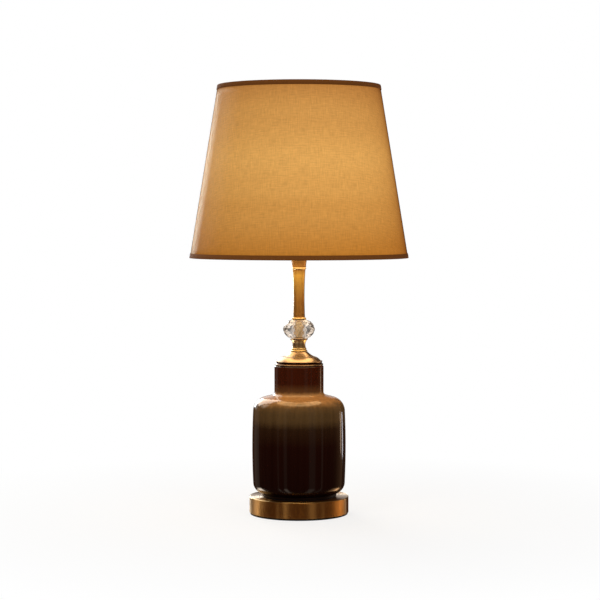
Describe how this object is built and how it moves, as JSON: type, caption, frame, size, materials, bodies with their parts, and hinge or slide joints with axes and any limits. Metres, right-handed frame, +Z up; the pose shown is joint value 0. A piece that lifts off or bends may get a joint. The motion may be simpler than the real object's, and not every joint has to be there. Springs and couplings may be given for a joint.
{
  "type": "table lamp",
  "caption": "Table lamp: a glazed ceramic jar on a brass disc base, a cut crystal bead and brass stem, and a tapered linen drum shade.",
  "frame": {"origin": "centre of the base pad's underside, on the lamp's axis at floor height", "axes": "+Z up along the lamp's axis, +Y towards the back, where the cord bush and the shade's seam are"},
  "size_m": [0.2598, 0.2598, 0.5082],
  "materials": {
    "black_felt": "matt black felt",
    "brushed_brass": "brushed brass",
    "polished_brass": "polished brass",
    "plain_brass": "stamped brass",
    "brass_rod": "plain brass",
    "cast_iron": "rough cast",
    "zinc_steel": "zinc plated",
    "black_rubber": "matt rubber",
    "glaze": "glossy maroon-brown glaze with an amber and olive shoulder",
    "crystal": "clear cut crystal",
    "black_phenolic": "moulded phenolic",
    "porcelain": "white porcelain",
    "ivory_plastic": "ivory plastic",
    "white_wire": "white painted steel wire",
    "white_liner": "white translucent film",
    "linen": "slubbed linen, lit from inside",
    "brown_ribbon": "dark brown ribbon",
    "solder": "tinned contact",
    "nickel_cap": "nickel plated",
    "white_bulb_body": "white plastic",
    "lit_envelope": "frosted, lit warm white"
  },
  "bodies": {
    "lamp": {"base_pad": "black_felt", "base_disc": "brushed_brass", "base_weight": "cast_iron", "cord_bush": "black_rubber", "rod_washer": "zinc_steel", "rod_spring_washer": "zinc_steel", "rod_nut": "zinc_steel", "threaded_rod": "brass_rod", "foot_gasket": "black_rubber", "ceramic_jar": "glaze", "neck_gasket": "black_rubber", "bell_cap": "polished_brass", "bead_ring": "polished_brass", "waist": "polished_brass", "crystal_cup": "polished_brass", "crystal": "crystal", "crystal_collar": "polished_brass", "stem": "brushed_brass", "stem_ring": "polished_brass", "stem_cup": "brushed_brass", "holder_housing": "black_phenolic", "grub_screw": "zinc_steel", "holder_insulator": "porcelain", "terminal_screws": "plain_brass", "holder_skirt": "black_phenolic", "screw_shell": "plain_brass", "centre_contact": "plain_brass", "switch_block": "black_phenolic"},
    "retainer": {"shade_ring": "black_phenolic"},
    "shade": {"fitter_ring": "white_wire", "shade_arms": "white_wire", "shade_bottom_wire": "white_wire", "shade_top_wire": "white_wire", "shade_liner": "white_liner", "shade_linen": "linen", "shade_bottom_edging": "brown_ribbon", "shade_top_edging": "brown_ribbon"},
    "bulb": {"bulb_contact": "solder", "bulb_insulator": "black_phenolic", "bulb_cap": "nickel_cap", "bulb_body": "white_bulb_body", "bulb_envelope": "lit_envelope"},
    "switch": {"push_bar": "ivory_plastic"}
  },
  "joints": [
    {"name": "shade_lift", "type": "slide", "parent": "lamp", "child": "retainer", "axis": [0, 0, 1], "range_m": [0, 0.17]},
    {"name": "shade_turn", "type": "hinge", "parent": "retainer", "child": "shade", "pos_m": [0, 0, 0.346], "axis": [0, 0, 1], "continuous": true},
    {"name": "bulb_unscrew", "type": "slide", "parent": "lamp", "child": "bulb", "axis": [0, 0, 1], "range_m": [0, 0.03]},
    {"name": "switch_push", "type": "slide", "parent": "lamp", "child": "switch", "axis": [1, 0, 0], "range_m": [0, 0.008]}
  ]
}
